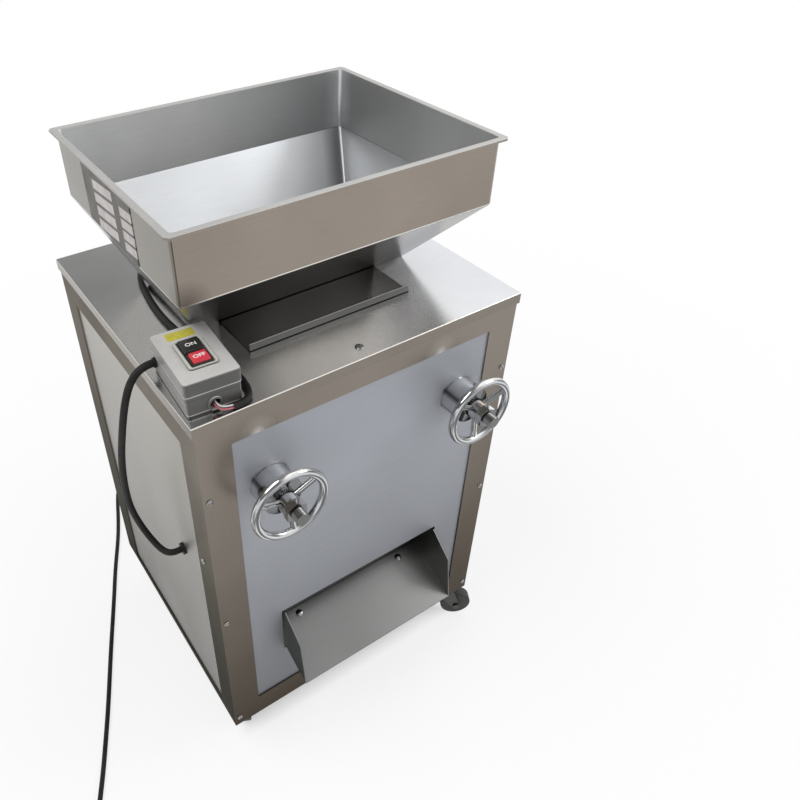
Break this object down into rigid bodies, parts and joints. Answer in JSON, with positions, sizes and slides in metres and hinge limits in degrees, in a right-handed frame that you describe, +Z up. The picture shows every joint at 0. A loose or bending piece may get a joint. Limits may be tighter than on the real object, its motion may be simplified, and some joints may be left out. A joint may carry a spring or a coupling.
{
  "type": "roller mill",
  "caption": "Floor-standing roller mill for nuts: steel cabinet on casters with a hopper, feed gate, geared fluted rollers set by handwheels, belt drive, outlet tray and switch.",
  "frame": {"origin": "on the floor, under the middle of the machine's bounding box without its leads", "axes": "+Z up, -Y towards the front with the handwheels, +X to the right of a person facing it"},
  "size_m": [0.8975, 0.9515, 1.042],
  "materials": {
    "frame_steel": "satin stainless",
    "lid_steel": "polished stainless",
    "hopper_steel": "polished stainless",
    "film_panel": "stainless under a blue-grey film",
    "side_steel": "satin stainless",
    "inner_steel": "plain steel",
    "cast": "grey casting",
    "bright_chrome": "chrome plated",
    "screw_steel": "plated",
    "plate_print": "blank printed plate",
    "motor_paint": "grey-blue paint",
    "belt_rubber": "belt rubber",
    "switch_grey": "light grey enamel",
    "bezel_white": "pale plastic",
    "button_black": "black plastic",
    "button_red": "red plastic",
    "lead_rubber": "black rubber",
    "core_plastic": "coloured insulation",
    "pin_brass": "brass",
    "caster_steel": "zinc plated",
    "wheel_rubber": "dark rubber"
  },
  "bodies": {
    "cabinet": {"corner_posts": "frame_steel", "frame_rails": "frame_steel", "inner_rails": "inner_steel", "top_cover": "lid_steel", "front_panel": "film_panel", "left_panel": "side_steel", "right_panel": "side_steel", "rear_panel": "side_steel", "cabinet_fasteners": "screw_steel", "hopper_box": "hopper_steel", "hopper_cone": "hopper_steel", "nameplate": "plate_print", "throat_insert": "hopper_steel", "feed_funnel": "inner_steel", "side_frames": "cast", "rear_bearings": "screw_steel", "scrapers": "inner_steel", "drive_belt": "belt_rubber", "motor_housing": "motor_paint", "motor_covers": "motor_paint", "screw_collars": "bright_chrome", "outlet_tray": "side_steel", "inner_chute": "inner_steel", "switch_base": "switch_grey", "switch_cover": "switch_grey", "switch_bezel": "bezel_white", "lead_grommets": "lead_rubber", "caster_plates": "caster_steel", "motor_lead": "lead_rubber", "lead_cores": "core_plastic", "supply_lead": "lead_rubber", "supply_coil": "lead_rubber", "coil_tie": "lead_rubber", "mains_plug": "lead_rubber", "plug_pins": "pin_brass"},
    "feed_gate": {"feed_gate": "lid_steel"},
    "left_handwheel": {"left_handwheel": "bright_chrome", "left_lock_nut": "bright_chrome"},
    "right_handwheel": {"right_handwheel": "bright_chrome", "right_lock_nut": "bright_chrome"},
    "front_carriage": {"adjusting_rods": "bright_chrome", "front_chocks": "cast", "front_bearings": "screw_steel"},
    "front_roller": {"front_roller": "inner_steel", "front_gear": "cast"},
    "rear_roller": {"rear_roller": "inner_steel", "rear_gear": "cast", "roller_pulley": "cast"},
    "motor_rotor": {"motor_shaft": "inner_steel", "motor_pulley": "cast"},
    "on_button": {"on_button": "button_black"},
    "off_button": {"off_button": "button_red"},
    "front_left_swivel": {"front_left_fork": "caster_steel"},
    "front_left_caster_wheel": {"front_left_wheel": "wheel_rubber"},
    "front_right_swivel": {"front_right_fork": "caster_steel"},
    "front_right_caster_wheel": {"front_right_wheel": "wheel_rubber"},
    "rear_left_swivel": {"rear_left_fork": "caster_steel"},
    "rear_left_caster_wheel": {"rear_left_wheel": "wheel_rubber"},
    "rear_right_swivel": {"rear_right_fork": "caster_steel"},
    "rear_right_caster_wheel": {"rear_right_wheel": "wheel_rubber"}
  },
  "joints": [
    {"name": "feed_gate_slide", "type": "slide", "parent": "cabinet", "child": "feed_gate", "axis": [0, 1, 0], "range_m": [-0.012, 0.073]},
    {"name": "left_handwheel_turn", "type": "hinge", "parent": "cabinet", "child": "left_handwheel", "pos_m": [-0.1822, -0.25875, 0.665], "axis": [0, -1, 0], "range_deg": [-210, 570]},
    {"name": "right_handwheel_turn", "type": "hinge", "parent": "cabinet", "child": "right_handwheel", "pos_m": [0.1578, -0.25875, 0.665], "axis": [0, -1, 0], "range_deg": [-210, 570]},
    {"name": "front_carriage_slide", "type": "slide", "parent": "cabinet", "child": "front_carriage", "axis": [0, -1, 0], "range_m": [-0.00145, 0.00395]},
    {"name": "rear_roller_turn", "type": "hinge", "parent": "cabinet", "child": "rear_roller", "pos_m": [-0.0122, 0.11675, 0.665], "axis": [1, 0, 0], "continuous": true},
    {"name": "front_roller_turn", "type": "hinge", "parent": "front_carriage", "child": "front_roller", "pos_m": [-0.0122, -0.00525, 0.665], "axis": [1, 0, 0], "continuous": true},
    {"name": "motor_rotor_turn", "type": "hinge", "parent": "cabinet", "child": "motor_rotor", "pos_m": [-0.2282, 0.15075, 0.2275], "axis": [1, 0, 0], "continuous": true},
    {"name": "on_button_press", "type": "slide", "parent": "cabinet", "child": "on_button", "axis": [0, 0, -1], "range_m": [0, 0.004], "stiffness_N_per_m": 500, "springref_m": -0.002},
    {"name": "off_button_press", "type": "slide", "parent": "cabinet", "child": "off_button", "axis": [0, 0, -1], "range_m": [0, 0.004], "stiffness_N_per_m": 500, "springref_m": -0.002},
    {"name": "front_left_swivel_turn", "type": "hinge", "parent": "cabinet", "child": "front_left_swivel", "pos_m": [-0.2522, -0.17425, 0.093], "axis": [0, 0, 1], "continuous": true},
    {"name": "front_left_wheel_roll", "type": "hinge", "parent": "front_left_swivel", "child": "front_left_caster_wheel", "pos_m": [-0.23867, -0.14525, 0.0315], "axis": [-0.9063, 0.4226, 0], "continuous": true},
    {"name": "front_right_swivel_turn", "type": "hinge", "parent": "cabinet", "child": "front_right_swivel", "pos_m": [0.2278, -0.17425, 0.093], "axis": [0, 0, 1], "continuous": true},
    {"name": "front_right_wheel_roll", "type": "hinge", "parent": "front_right_swivel", "child": "front_right_caster_wheel", "pos_m": [0.25552, -0.19025, 0.0315], "axis": [0.5, 0.866, 0], "continuous": true},
    {"name": "rear_left_swivel_turn", "type": "hinge", "parent": "cabinet", "child": "rear_left_swivel", "pos_m": [-0.2522, 0.25575, 0.093], "axis": [0, 0, 1], "continuous": true},
    {"name": "rear_left_wheel_roll", "type": "hinge", "parent": "rear_left_swivel", "child": "rear_left_caster_wheel", "pos_m": [-0.22129, 0.24747, 0.0315], "axis": [0.2588, 0.9659, 0], "continuous": true},
    {"name": "rear_right_swivel_turn", "type": "hinge", "parent": "cabinet", "child": "rear_right_swivel", "pos_m": [0.2278, 0.25575, 0.093], "axis": [0, 0, 1], "continuous": true},
    {"name": "rear_right_wheel_roll", "type": "hinge", "parent": "rear_right_swivel", "child": "rear_right_caster_wheel", "pos_m": [0.19689, 0.24747, 0.0315], "axis": [0.2588, -0.9659, 0], "continuous": true}
  ],
  "couplings": [
    {"joint": "left_handwheel_turn", "follows": "front_carriage_slide", "rad_per_m": 2513.3},
    {"joint": "right_handwheel_turn", "follows": "front_carriage_slide", "rad_per_m": 2513.3},
    {"joint": "front_roller_turn", "follows": "rear_roller_turn", "ratio": -1},
    {"joint": "motor_rotor_turn", "follows": "rear_roller_turn", "ratio": 2.4164}
  ]
}
